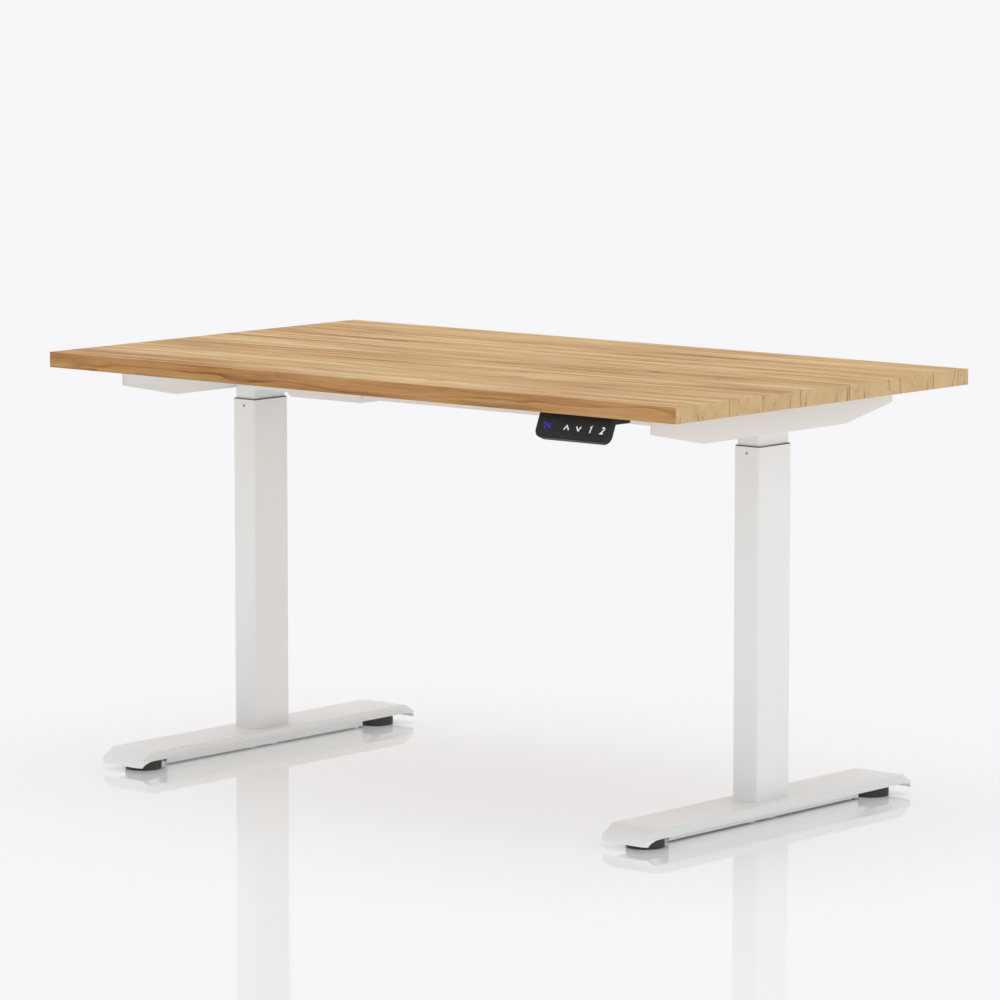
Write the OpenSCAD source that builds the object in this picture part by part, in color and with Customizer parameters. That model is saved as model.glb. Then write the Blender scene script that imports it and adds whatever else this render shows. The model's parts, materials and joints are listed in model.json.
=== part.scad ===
// Height adjustable standing desk with one motor and two lifting columns.
// Origin: on the floor under the middle of the desktop. +X to the right, -Y to the user, +Z up.

/* [Desktop] */
// Width of the desktop, left to right
desk_w = 1400; // [1150:1:1800]
// Depth of the desktop, front to back
desk_d = 800; // [660:1:960]
// Thickness of the desktop
desk_t = 27; // [18:0.5:40]
// Height of the desktop's top face above the floor as drawn
rest_h = 737; // [600:1:900]
// How deep each wood screw goes into the desktop
screw_bite = 17; // [10:0.5:17]

/* [Columns] */
// Distance from the desktop's end to a column's centre
col_inset = 132; // [110:1:180]
// Width of the outer tube, left to right
tube_w = 53.5; // [50:0.5:64]
// Depth of the outer tube, front to back
tube_d = 87.5; // [80:0.5:104]
// Wall of both tubes
tube_wall = 1.5; // [1.2:0.1:2]
// Outside corner radius of the outer tube
tube_r = 4.5; // [4:0.1:8]
// Thickness of the plastic glide bushes between the tubes
bush_t = 2; // [1.5:0.1:3]
// Height of each glide bush
bush_h = 30; // [20:1:40]
// Distance from the desktop's underside down to the outer tube's rim
rim_drop = 77; // [74:1:100]
// How far the desk can still be lowered from the height drawn
stroke_down = 15; // [5:1:15]

/* [Feet] */
// Length of a foot, front to back
foot_l = 732; // [620:1:880]
// Width of a foot's flat top
foot_w = 99; // [92:1:125]
// Height of a foot's top above the floor
foot_h = 37; // [35:0.5:45]
// Sheet thickness of the pressed foot
foot_sheet = 2; // [1.5:0.1:3]
// How far the lip along a foot's sides stands out
foot_flare = 3; // [1:0.5:5]
// Depth of the cove along a foot's sides
cove_depth = 4; // [1:0.5:4]
// Height of the foot's lip above the floor
lip_h = 21.5; // [18:0.5:25]
// Length of the sloping nose at each end of a foot
nose_l = 33; // [20:1:50]
// Height of the nose's lower edge above the floor
nose_h = 11; // [6:0.5:14]
// Plan radius of the foot's corners
foot_r = 16; // [6:1:24]
// Width of the stiffening tube inside a foot
core_w = 22; // [20:1:60]
// Length of the stiffening tube inside a foot
core_l = 520; // [380:1:520]
// Gap between the stiffening tube and the floor
core_gap = 3.5; // [3:0.5:8]
// Wall of the stiffening tube
core_wall = 2; // [1.5:0.1:3]
// Distance between a foot's two levelling glides
glide_span = 618; // [580:1:640]
// Diameter of a levelling glide
glide_d = 63; // [40:1:66]
// Height of a glide's round foot
glide_h = 16; // [12:0.5:17]

/* [Frame] */
// Length of a side bracket, front to back
bracket_l = 656; // [500:1:656]
// Depth of a side bracket in its middle
bracket_h = 57; // [50:1:60]
// Depth of a side bracket at its tips
tip_h = 31; // [20:1:45]
// Length of the tapered part at each end of a side bracket
taper_l = 134; // [60:1:150]
// Width of a side bracket's top flange
flange_w = 60; // [55:1:80]
// Sheet thickness of the side brackets
bracket_t = 2.5; // [2:0.1:4]
// Width of the crossbeam, front to back
beam_d = 88; // [84:1:110]
// Height of the crossbeam
beam_h = 54.5; // [50:0.5:56]
// Sheet thickness of the crossbeam
beam_t = 2; // [1.5:0.1:3]
// Thickness of the plate that closes each end of the crossbeam
end_plate_t = 4; // [3:0.5:6]
// Distance from the left column's centre to the motor cover
cover_near = 106; // [90:1:120]
// Length of the motor cover
cover_l = 177; // [160:1:200]
// How far the motor cover hangs below the crossbeam
cover_drop = 7; // [6:0.5:12]
// Wall of the motor cover
cover_t = 2; // [1.5:0.1:3]
// Chamfer on the motor cover's outer lower corner
cover_chamfer = 9; // [4:0.5:14]

/* [Drive] */
// Drive shaft size across its flats
hex_af = 8; // [7:0.5:8]
// Depth of the shaft axis below the column heads
shaft_drop = 29.5; // [28:0.5:31]
// Pitch radius of the bevel gears
bevel_r = 11; // [11:0.5:12]
// Teeth on each bevel gear
bevel_teeth = 16; // [12:2:18]
// Diameter of a leadscrew
screw_d = 14; // [12:0.5:16]
// Diameter of a leadscrew's upper journal
journal_d = 8; // [7:0.5:8]
// Length of a leadscrew's nut
nut_l = 40; // [25:1:50]
// Outer diameter of the screw tube that carries the nut
screw_tube_d = 30; // [26:0.5:32]
// Tooth module of the motor's spur gears
spur_m = 1; // [1:0.05:1]
// Teeth on the motor pinion
pinion_teeth = 16; // [14:1:16]
// Teeth on the shaft gear
gear_teeth = 32; // [32:1:33]
// Diameter of the motor's can
motor_d = 37; // [30:0.5:37]
// Length of the motor's can
motor_l = 85; // [60:1:90]
// Angle of the motor below the shaft's level
motor_angle = 22; // [18:1:24]

/* [Control box] */
// Distance from the desktop's centre to the control box's centre, to the right
ctrl_x = 100; // [0:1:150]
// Distance from the desktop's centre to the control box's centre, to the back
ctrl_y = 130; // [110:1:200]
// Width of the control box
ctrl_w = 240; // [180:1:300]
// Depth of the control box, front to back
ctrl_d = 96; // [80:1:110]
// Height of the control box
ctrl_h = 32; // [28:1:40]
// Wall of the control box
ctrl_wall = 2.2; // [1.5:0.1:3]

/* [Handset] */
// Distance from the desktop's right end to the handset's middle
hs_inset = 219; // [180:1:300]
// Width of the handset
hs_w = 152; // [146:1:180]
// How far the handset reaches below the desktop
hs_drop = 41; // [40:0.5:60]
// Lean of the handset's face from upright
hs_tilt = 23.5; // [10:0.5:35]
// Thickness of the handset behind its front panel
hs_depth = 9; // [8:0.5:14]
// Thickness of the handset's front panel
panel_t = 2.5; // [2:0.1:3]
// Radius of the handset's lower corners
hs_r = 14; // [6:1:18]
// Distance from the handset's lower front edge back to the desktop's front edge
hs_setback = 1; // [1:0.5:20]
// Depth of the mounting block behind the handset
block_t = 14; // [10:0.5:22]
// Reach of the mounting block behind the handset's face
tongue_l = 68; // [60:1:70]
// Width of a key
key_w = 18; // [14:0.5:20]
// Height of a key
key_h = 19; // [14:0.5:20]
// Distance from one key to the next
key_pitch = 25; // [22:0.5:26]
// Travel of a key
key_travel = 0.6; // [0.3:0.1:0.8]

/* [Hidden] */
$fn = 48;
eps = 0.01;
fit = 0.3;            // running clearance between pieces on different bodies
close = 0.1;          // clearance of a seated piece
col_x = desk_w / 2 - col_inset;
under = rest_h - desk_t;
head_z = under - bracket_t;
inner_w = tube_w - 2 * (tube_wall + bush_t);
inner_d = tube_d - 2 * (tube_wall + bush_t);
inner_r = tube_r - tube_wall - bush_t + 1.5;
rim_z = under - rim_drop;
plate_t = 8;
plate_top = foot_h + plate_t;
inner_low = plate_top + stroke_down + 10;
shaft_z = head_z - shaft_drop;
beam_low = head_z - beam_h;
beam_half = col_x - inner_w / 2;
hex_r = hex_af / 2 / cos(30);

case_w = inner_w - 2 * tube_wall - 2 * close;
case_d = 60;
case_low = shaft_z - 36;
bearing_h = 8;
bearing_r = 13;
seat_z = case_low + 2;
journal_top = shaft_z - hex_r - 2.4;
nut_top = case_low - stroke_down - 22;
nut_low = nut_top - nut_l;
screw_low = plate_top + stroke_down + 25;

bevel_face = 5;
bevel_ded = 1.2;
bevel_add = 0.7;
bevel_hub = 4;
spur_span = spur_m * (pinion_teeth + gear_teeth) / 2;
spur_w = 10;
motor_y = spur_span * cos(motor_angle);
motor_z = shaft_z - spur_span * sin(motor_angle);
motor_x = -col_x + cover_near + 12;
reducer_x = motor_x + motor_l + 3;
reducer_l = 28;
reducer_wall = 3;

bolt_r = 3;
wood_r = 2.2;
wood_head_r = 5;
wood_head_h = 2.6;
wood_ys = [110, 290];

foot_bolt_r = 4;
foot_bolt_y = 28;
stud_r = 5;
glide_lift = 4;
stud_gap = 0.5;
stud_top = foot_h - foot_sheet - glide_lift - stud_gap;
boss_low = glide_h + glide_lift + 1;
boss_r = 10;

hs_x = desk_w / 2 - hs_inset;
hs_y = -desk_d / 2 + hs_setback;
hs_z = under - hs_drop;
hs_spare = 12;
hs_h = hs_drop / cos(hs_tilt) + hs_spare;
hs_wall = 1.8;
tongue_t = 4;
tongue_inset = 5;
seat_r = 6.5;
block_ease = 2;
tongue_end = hs_y + tongue_l;
key_mid = 20;
key_first = -13;
key_xs = [for (i = [0 : 3]) key_first + i * key_pitch];
board_gap = 3.9;
board_y = panel_t + board_gap;
board_side = 5;
board_low = 6;
board_high = 8;
window_x = -56;
window_w = 25;
window_h = 14;
window_t = 1.2;

// ---- shared shapes ----

// A rectangle with true round corners, centred
module round_rect(w, d, r) {
    square([w - 2 * r, d], center = true);
    square([w, d - 2 * r], center = true);
    for (x = [-1, 1], y = [-1, 1]) translate([x * (w / 2 - r), y * (d / 2 - r)]) circle(r);
}

// A tube of round-cornered section standing on z = low
module box_tube(w, d, r, wall, low, high) {
    translate([0, 0, low]) linear_extrude(high - low) difference() {
        round_rect(w, d, r);
        round_rect(w - 2 * wall, d - 2 * wall, max(r - wall, 0.5));
    }
}

// A block given by its low and high corners
module block(a, b) {
    translate(a) cube([b[0] - a[0], b[1] - a[1], b[2] - a[2]]);
}

// A round bar along Z or X
module bar_z(r, a, b) { translate([0, 0, a]) cylinder(h = b - a, r = r); }
module bar_x(r, a, b) { translate([a, 0, 0]) rotate([0, 90, 0]) cylinder(h = b - a, r = r); }

// Points of an arc, centre c, from angle a to angle b
function arc(c, r, a, b, n) = [for (i = [0 : n]) c + r * [cos(a + (b - a) * i / n), sin(a + (b - a) * i / n)]];

// Points of a curve bent by one control point
function bend(p, q, s, n) = [for (i = [0 : n]) let (t = i / n)
    (1 - t) * (1 - t) * p + 2 * t * (1 - t) * q + t * t * s];

function flip(points) = [for (i = [len(points) - 1 : -1 : 0]) [-points[i][0], points[i][1]]];

// ---- desktop and frame ----

module wood_screw_places() {
    for (side = [-1, 1], y = wood_ys, s = [-1, 1]) translate([side * (col_x - 4), s * y, head_z]) children();
    for (s = [-1, 1]) translate([hs_x + s * hs_w / 4, tongue_end - 10, under - tongue_t]) children();
    for (sx = [-1, 1], sy = [-1, 1])
        translate([ctrl_x + sx * (ctrl_w / 2 + 7), ctrl_y + sy * (ctrl_d / 2 - 16), under - 3]) children();
}

module desktop() {
    color("burlywood") difference() {
        block([-desk_w / 2, -desk_d / 2, under], [desk_w / 2, desk_d / 2, rest_h]);
        intersection() {
            wood_screw_places() bar_z(wood_r, 0, screw_bite + tongue_t);
            block([-desk_w, -desk_d, under - eps], [desk_w, desk_d, under + screw_bite]);
        }
    }
}

module desk_screws() {
    color("silver") intersection() {
        wood_screw_places() {
            bar_z(wood_r, 0, screw_bite + tongue_t);
            bar_z(wood_head_r, -wood_head_h, 0);
        }
        block([-desk_w, -desk_d, 0], [desk_w, desk_d, under + screw_bite]);
    }
}

// Countersunk bolts down through the bracket's flange, and cap screws through the beam's end plates
head_bolt_y = 22.5;
beam_bolt_y = 24;
head_bolt_l = 20;
cap_r = 5.5;
cap_h = 3.5;

module side_bracket(side) {
    face = col_x + inner_w / 2;
    half = bracket_l / 2;
    color("whitesmoke") mirror([side < 0 ? 1 : 0, 0, 0]) difference() {
        union() {
            translate([face, 0, under]) rotate([90, 0, 90]) linear_extrude(bracket_t)
                polygon([[-half, 0], [-half, -tip_h], [-half + taper_l, -bracket_h],
                    [half - taper_l, -bracket_h], [half, -tip_h], [half, 0]]);
            block([face + bracket_t - flange_w, -half, head_z], [face + bracket_t, half, under]);
        }
        for (y = wood_ys, s = [-1, 1]) translate([col_x - 4, s * y, 0]) bar_z(wood_r, head_z - 1, under + 1);
        for (s = [-1, 1]) translate([col_x, s * head_bolt_y, 0]) {
            bar_z(bolt_r, head_z - 1, under + 1);
            translate([0, 0, head_z]) cylinder(h = bracket_t + eps, r1 = bolt_r, r2 = 2 * bolt_r);
        }
    }
}

module frame_bolts() {
    color("silver") for (side = [-1, 1], s = [-1, 1]) {
        translate([side * col_x, s * head_bolt_y, 0]) {
            bar_z(bolt_r, under - head_bolt_l, under);
            translate([0, 0, head_z]) cylinder(h = bracket_t, r1 = bolt_r, r2 = 2 * bolt_r);
        }
        mirror([side < 0 ? 1 : 0, 0, 0]) translate([0, s * beam_bolt_y, shaft_z]) {
            bar_x(bolt_r, beam_half - end_plate_t - eps, beam_half + 10);
            bar_x(cap_r, beam_half - end_plate_t - cap_h, beam_half - end_plate_t);
        }
    }
}

module crossbeam() {
    color("whitesmoke") difference() {
        block([-beam_half, -beam_d / 2, beam_low], [beam_half, beam_d / 2, head_z]);
        block([-beam_half + end_plate_t, -beam_d / 2 + beam_t, beam_low - 1],
            [beam_half - end_plate_t, beam_d / 2 - beam_t, head_z - beam_t]);
        translate([0, 0, shaft_z]) bar_x(hex_r + 1, -beam_half - 1, beam_half + 1);
        for (s = [-1, 1]) translate([0, s * beam_bolt_y, shaft_z]) bar_x(bolt_r, -beam_half - 1, beam_half + 1);
        saddle_screw_places() bar_z(saddle_bolt_r, head_z - 12, head_z + 1);
    }
}

module motor_cover() {
    x0 = -col_x + cover_near;
    x1 = x0 + cover_l;
    low = beam_low - cover_drop;
    high = beam_low + 26;
    y = beam_d / 2 + close + cover_t;
    color("whitesmoke") difference() {
        translate([0, y, 0]) rotate([90, 0, 0]) linear_extrude(2 * y)
            polygon([[x0, high], [x0, low + cover_chamfer], [x0 + cover_chamfer, low], [x1, low], [x1, high]]);
        block([x0 - 1, -y + cover_t, beam_low - close], [x1 + 1, y - cover_t, high + 1]);
        block([x0 + cover_chamfer, -y + cover_t, low + cover_t], [x1 - cover_t, y - cover_t, high + 1]);
    }
}

// ---- drive ----

// Outline of a spur gear with n teeth and plenty of backlash
module spur(n) {
    step = 360 / n;
    root = spur_m * (n / 2 - 1.2);
    tip = spur_m * (n / 2 + 0.8);
    polygon([for (i = [0 : n - 1], k = [[root, -0.27], [tip, -0.11], [tip, 0.11], [root, 0.27]])
        k[0] * [cos((i + k[1]) * step), sin((i + k[1]) * step)]]);
}

// Turns a flat outline so that it is extruded along X, with its own x along Y and its y along Z
module along_x(x, l) { translate([x, 0, 0]) rotate([90, 0, 90]) linear_extrude(l) children(); }

// A bevel gear with its cone's point at the origin and its body below it
module bevel(half_step) {
    drop = bevel_face / sqrt(2);
    root = bevel_ded * sqrt(2);
    translate([0, 0, -bevel_r]) cylinder(h = drop, r1 = bevel_r - root, r2 = bevel_r - drop - root);
    bar_z(bevel_r - 3, -bevel_r - bevel_hub, -bevel_r);
    for (i = [0 : bevel_teeth - 1]) rotate([0, 0, (i + half_step) * 360 / bevel_teeth]) rotate([0, 45, 0])
        translate([bevel_r * sqrt(2) - bevel_face, -0.6, -bevel_ded - 0.6])
            cube([bevel_face - 0.2, 1.2, bevel_ded + 0.6 + bevel_add]);
}

module hex_bar(x0, x1, gap) {
    translate([x0, 0, shaft_z]) rotate([0, 90, 0]) cylinder(h = x1 - x0, r = hex_r + gap, $fn = 6);
}

module drive_shaft() {
    color("lightslategray") hex_bar(-col_x - bevel_r - bevel_hub - 1, col_x + 4, 0);
}

module bevel_pinions() {
    color("goldenrod") difference() {
        for (side = [-1, 1]) translate([side * col_x, 0, shaft_z]) rotate([0, 90, 0]) bevel(0.5);
        hex_bar(-desk_w, desk_w, close / 2);
    }
}

module shaft_gear() {
    color("ivory") difference() {
        translate([0, 0, shaft_z]) along_x(reducer_x + 8, spur_w)
            rotate(-motor_angle + 180 / gear_teeth) spur(gear_teeth);
        hex_bar(-desk_w, desk_w, close / 2);
    }
}

module motor_pinion() {
    color("goldenrod") translate([0, motor_y, motor_z]) {
        along_x(reducer_x + 7, spur_w + 2) rotate(180 - motor_angle) spur(pinion_teeth);
        bar_x(2.5, motor_x + motor_l - 20, reducer_x + 8);
    }
}

module motor_body() {
    color("dimgray") difference() {
        translate([0, motor_y, motor_z]) {
            bar_x(motor_d / 2, motor_x, motor_x + motor_l);
            bar_x(motor_d / 4, motor_x - 6, motor_x);
            bar_x(motor_d / 4, motor_x + motor_l, reducer_x);
        }
        translate([0, motor_y, motor_z]) bar_x(2.5 + fit, motor_x + motor_l - 22, reducer_x + 1);
    }
}

saddle_x = motor_x + 12;
saddle_l = 56;
saddle_half = 13;
saddle_bolt_r = 2;

module saddle_screw_places() {
    for (x = [8, saddle_l - 8]) translate([saddle_x + x, motor_y, 0]) children();
}

// A block between the beam's roof and the motor's can
module motor_saddle() {
    color("gray") difference() {
        block([saddle_x, motor_y - saddle_half, motor_z + 8],
            [saddle_x + saddle_l, motor_y + saddle_half, head_z - beam_t]);
        translate([0, motor_y, motor_z]) bar_x(motor_d / 2, motor_x, motor_x + motor_l);
        saddle_screw_places() bar_z(saddle_bolt_r, head_z - 12, head_z);
    }
}

module saddle_screws() {
    color("silver") saddle_screw_places() {
        bar_z(saddle_bolt_r, head_z - 12, head_z + eps);
        bar_z(2 * saddle_bolt_r, head_z, head_z + 1.8);
    }
}

module reducer_outline(grow) {
    circle(gear_teeth / 2 * spur_m + 2 + grow);
    translate([motor_y, motor_z - shaft_z]) circle(pinion_teeth / 2 * spur_m + 2.4 + grow);
}

module reducer_case() {
    color("gray") difference() {
        translate([0, 0, shaft_z]) along_x(reducer_x, reducer_l) reducer_outline(reducer_wall);
        translate([0, 0, shaft_z]) along_x(reducer_x + reducer_wall, reducer_l) reducer_outline(0);
        translate([0, 0, shaft_z]) bar_x(hex_r + fit, reducer_x - 1, reducer_x + reducer_l);
        translate([0, motor_y, motor_z]) bar_x(2.5 + fit, reducer_x - 1, reducer_x + reducer_l);
    }
}

module reducer_lid() {
    color("darkgray") difference() {
        translate([0, 0, shaft_z]) along_x(reducer_x + reducer_l, reducer_wall) reducer_outline(reducer_wall);
        translate([0, 0, shaft_z]) bar_x(hex_r + fit, reducer_x, reducer_x + 2 * reducer_l);
    }
}

// ---- column heads ----

module gearbox(side) {
    room = case_w / 2 - 2;
    color("dimgray") translate([side * col_x, 0, 0]) difference() {
        block([-case_w / 2, -case_d / 2, case_low], [case_w / 2, case_d / 2, head_z]);
        block([-room, -15, shaft_z - bevel_r - bevel_hub - 4], [room, 15, head_z + 1]);
        bar_z(bearing_r + close / 2, case_low - 1, seat_z + bearing_h);
        bar_z(journal_d / 2 + 0.6, case_low, shaft_z);
        for (s = [-1, 1]) translate([0, s * head_bolt_y, 0]) bar_z(bolt_r, under - head_bolt_l, head_z + 1);
        mirror([side > 0 ? 1 : 0, 0, 0]) translate([0, 0, shaft_z]) {
            bar_x(hex_r + fit, 0, case_w);
            for (s = [-1, 1]) translate([0, s * beam_bolt_y, 0]) bar_x(bolt_r, inner_w / 2 - 10, case_w);
        }
    }
}

module screw_bearing(side) {
    color("silver") translate([side * col_x, 0, 0]) difference() {
        bar_z(bearing_r, seat_z, seat_z + bearing_h);
        bar_z(journal_d / 2 + close, seat_z - 1, seat_z + bearing_h + 1);
    }
}

module bevel_gear(side) {
    color("goldenrod") difference() {
        translate([side * col_x, 0, shaft_z]) bevel(0);
        translate([side * col_x, 0, 0]) bar_z(journal_d / 2, 0, journal_top + 1);
    }
}

module leadscrew(side) {
    color("silver") translate([side * col_x, 0, 0]) {
        bar_z(screw_d / 2, screw_low, seat_z);
        bar_z(journal_d / 2, seat_z, journal_top);
    }
}

module inner_tube(side) {
    color("whitesmoke") translate([side * col_x, 0, 0]) difference() {
        box_tube(inner_w, inner_d, inner_r, tube_wall, inner_low, head_z);
        mirror([side > 0 ? 1 : 0, 0, 0]) translate([0, 0, shaft_z]) {
            bar_x(hex_r + 1, 0, inner_w);
            for (s = [-1, 1]) translate([0, s * beam_bolt_y, 0]) bar_x(bolt_r, 0, inner_w);
        }
    }
}

module lower_bush(side) {
    color("dimgray") translate([side * col_x, 0, inner_low]) linear_extrude(bush_h) difference() {
        round_rect(inner_w + 2 * (bush_t - fit), inner_d + 2 * (bush_t - fit), inner_r + bush_t - fit);
        round_rect(inner_w, inner_d, inner_r);
    }
}

// ---- control box ----

board_rise = 6;
board_t = 1.6;

module control_case() {
    x = ctrl_w / 2;
    y = ctrl_d / 2;
    color("dimgray") translate([ctrl_x, ctrl_y, 0]) difference() {
        union() {
            block([-x, -y, under - ctrl_h], [x, y, under - 3]);
            for (sx = [-1, 1], sy = [-1, 1]) translate([sx * (x + 7), sy * (y - 16), 0])
                block([-7, -8, under - 3], [7, 8, under]);
            for (sx = [-1, 1], sy = [-1, 1]) translate([sx * (x + 1), sy * (y - 16), 0])
                block([-1, -8, under - 6], [1, 8, under]);
        }
        difference() {
            block([-x + ctrl_wall, -y + ctrl_wall, under - ctrl_h + ctrl_wall],
                [x - ctrl_wall, y - ctrl_wall, under + 1]);
            for (sx = [-1, 1], sy = [-1, 1]) translate([sx * (x - 14), sy * (y - 20), 0])
                bar_z(3, under - ctrl_h, under - ctrl_h + board_rise);
        }
        for (sx = [-1, 1], sy = [-1, 1]) translate([sx * (x + 7), sy * (y - 16), 0])
            bar_z(wood_r, under - 4, under + 1);
        block([-x + 30, y - 10, under - ctrl_h + 4], [-x + 58, y + 1, under - 6]);
        for (i = [0 : 2]) translate([20 + 30 * i, 0, 0])
            block([-9, -y - 1, under - ctrl_h + 6], [9, -y + 10, under - ctrl_h + 18]);
    }
}

module control_lid() {
    color("gray") translate([ctrl_x, ctrl_y, 0])
        block([-ctrl_w / 2, -ctrl_d / 2, under - 3], [ctrl_w / 2, ctrl_d / 2, under - 0.2]);
}

module control_board() {
    color("darkgreen") translate([ctrl_x, ctrl_y, 0]) {
        block([-ctrl_w / 2 + 8, -ctrl_d / 2 + 8, under - ctrl_h + board_rise],
            [ctrl_w / 2 - 8, ctrl_d / 2 - 14, under - ctrl_h + board_rise + board_t]);
        for (i = [0 : 2]) translate([20 + 30 * i, 0, 0])
            block([-8, -ctrl_d / 2 + 0.4, under - ctrl_h + 7.5], [8, -ctrl_d / 2 + 16, under - ctrl_h + 17]);
        translate([-60, 0, 0]) bar_z(11, under - ctrl_h + 7.5, under - 7);
    }
}

module power_inlet() {
    color("black") translate([ctrl_x - ctrl_w / 2 + 44, ctrl_y + ctrl_d / 2, 0]) difference() {
        block([-14, -12, under - ctrl_h + 4], [14, 1.5, under - 6]);
        block([-11, -8, under - ctrl_h + 7], [11, 2, under - 9]);
    }
}

// ---- handset ----

// Places shapes in the handset's own frame: x to the right, -y out of its face, z up its face
module at_handset() { translate([hs_x, hs_y, hs_z]) rotate([-hs_tilt, 0, 0]) children(); }

module below_top() {
    intersection() {
        children();
        block([-desk_w, -desk_d, 0], [desk_w, desk_d, under]);
    }
}

// The handset's face outline, drawn from y = a to y = b and pulled in by inset
module hs_slab(a, b, inset) {
    w = hs_w / 2 - inset;
    r = hs_r - inset;
    translate([0, b, 0]) rotate([90, 0, 0]) linear_extrude(b - a) {
        translate([-w, inset + r]) square([2 * w, hs_h - inset - r]);
        translate([-w + r, inset]) square([2 * (w - r), hs_h - inset]);
        for (s = [-1, 1]) translate([s * (w - r), inset + r]) circle(r);
    }
}

module handset_case() {
    back = hs_y + hs_drop * tan(hs_tilt) + (panel_t + hs_depth) / cos(hs_tilt);
    lean = block_t * tan(hs_tilt);
    seats = [for (s = [-1, 1]) [hs_x + s * hs_w / 4, tongue_end - 10]];
    left = hs_x - hs_w / 2 + tongue_inset;
    right = hs_x + hs_w / 2 - tongue_inset;
    color([0.16, 0.16, 0.17]) {
        difference() {
            union() {
                below_top() at_handset() hs_slab(panel_t, panel_t + hs_depth, 0);
                translate([left, 0, 0]) rotate([90, 0, 90]) linear_extrude(right - left)
                    polygon([[back - 4, under], [back - 4 - lean, under - block_t],
                        [tongue_end - block_ease, under - block_t],
                        [tongue_end, under - block_t + block_ease], [tongue_end, under]]);
            }
            difference() {
                at_handset() hs_slab(panel_t - 1, panel_t + hs_depth - hs_wall, hs_wall);
                block([-desk_w, -desk_d, under - hs_wall], [desk_w, desk_d, under + hs_drop]);
            }
            difference() {
                block([left + hs_wall, back + hs_wall, under - block_t + hs_wall],
                    [right - hs_wall, tongue_end - hs_wall, under + 1]);
                for (p = seats) translate([p[0], p[1], 0]) bar_z(seat_r + hs_wall, under - block_t, under + 2);
            }
            for (p = seats) translate([p[0], p[1], 0]) {
                bar_z(seat_r, under - block_t - 1, under - tongue_t);
                bar_z(wood_r, under - block_t, under + 1);
            }
        }
        at_handset() for (s = [-1, 1]) translate([s * hs_w / 3, 0, key_mid]) rotate([-90, 0, 0])
            bar_z(3, board_y + board_t, panel_t + hs_depth - hs_wall + 0.5);
    }
}

module key_hole(x, w, h, a, b) {
    block([x - w / 2, a, key_mid - h / 2], [x + w / 2, b, key_mid + h / 2]);
}

module handset_panel() {
    color([0.13, 0.13, 0.14]) difference() {
        below_top() at_handset() hs_slab(0, panel_t, 0);
        at_handset() {
            for (x = key_xs) key_hole(x, key_w + 2 * fit, key_h + 2 * fit, -1, panel_t + 1);
            key_hole(window_x, window_w, window_h, -1, window_t);
            key_hole(window_x, window_w - 4, window_h - 4, -1, panel_t + 1);
        }
    }
}

module handset_window() {
    color([0.05, 0.05, 0.1]) at_handset() key_hole(window_x, window_w - close, window_h - close, 0, window_t);
}

module handset_board() {
    color("darkgreen") at_handset() {
        block([-hs_w / 2 + board_side, board_y, board_low],
            [hs_w / 2 - board_side, board_y + board_t, hs_drop - board_high]);
        key_hole(window_x, window_w - 5, window_h - 5, window_t + 0.4, board_y + eps);
    }
}

module key(i) {
    color([0.13, 0.13, 0.14]) at_handset() {
        key_hole(key_xs[i], key_w, key_h, 0, panel_t + 0.3);
        key_hole(key_xs[i], key_w + 3, key_h + 3, panel_t + 0.3, panel_t + 1.5);
        key_hole(key_xs[i], 4, 4, panel_t + 1.4, board_y - 0.1 - key_travel);
    }
}

// ---- lower legs ----

module outer_tube(side) {
    color("whitesmoke") translate([side * col_x, 0, 0]) difference() {
        union() {
            box_tube(tube_w, tube_d, tube_r, tube_wall, foot_h, rim_z);
            translate([0, 0, foot_h]) linear_extrude(plate_t)
                round_rect(tube_w - tube_wall, tube_d - tube_wall, tube_r - tube_wall / 2);
        }
        for (s = [-1, 1]) translate([0, s * foot_bolt_y, 0]) bar_z(foot_bolt_r, foot_h - 1, plate_top + 1);
        translate([0, 0, rim_z - bush_screw_drop]) rotate([90, 0, 0])
            translate([0, 0, -tube_d]) cylinder(h = 2 * tube_d, r = bush_screw_r);
    }
}

bush_screw_drop = 11;
bush_screw_r = 1.6;
collar_h = 1.2;

module top_bush(side) {
    color("dimgray") translate([side * col_x, 0, 0]) difference() {
        union() {
            translate([0, 0, rim_z - bush_h]) linear_extrude(bush_h)
                round_rect(tube_w - 2 * tube_wall, tube_d - 2 * tube_wall, tube_r - tube_wall);
            translate([0, 0, rim_z]) linear_extrude(collar_h)
                round_rect(tube_w - tube_wall, tube_d - tube_wall, tube_r - tube_wall / 2);
        }
        translate([0, 0, rim_z - bush_h - 1]) linear_extrude(bush_h + collar_h + 2)
            round_rect(inner_w + 2 * fit, inner_d + 2 * fit, inner_r + fit);
        translate([0, 0, rim_z - bush_screw_drop]) rotate([90, 0, 0])
            translate([0, 0, -tube_d]) cylinder(h = 2 * tube_d, r = bush_screw_r);
    }
}

module bush_screws(side) {
    reach = tube_d / 2 - inner_d / 2 - fit;
    color("silver") for (s = [-1, 1]) translate([side * col_x, s * tube_d / 2, rim_z - bush_screw_drop])
        rotate([s * -90, 0, 0]) {
            bar_z(bush_screw_r, -reach, eps);
            bar_z(bush_screw_r + 0.7, 0, 0.5);
        }
}

module screw_tube(side) {
    color("lightslategray") translate([side * col_x, 0, 0]) difference() {
        bar_z(screw_tube_d / 2, plate_top, nut_low);
        bar_z(screw_d / 2 + 2, plate_top - 1, nut_low + 1);
    }
}

module screw_nut(side) {
    color("ivory") translate([side * col_x, 0, 0]) difference() {
        bar_z(screw_tube_d / 2, nut_low, nut_top);
        bar_z(screw_d / 2 + fit, nut_low - 1, nut_top + 1);
    }
}

// ---- feet ----

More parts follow.
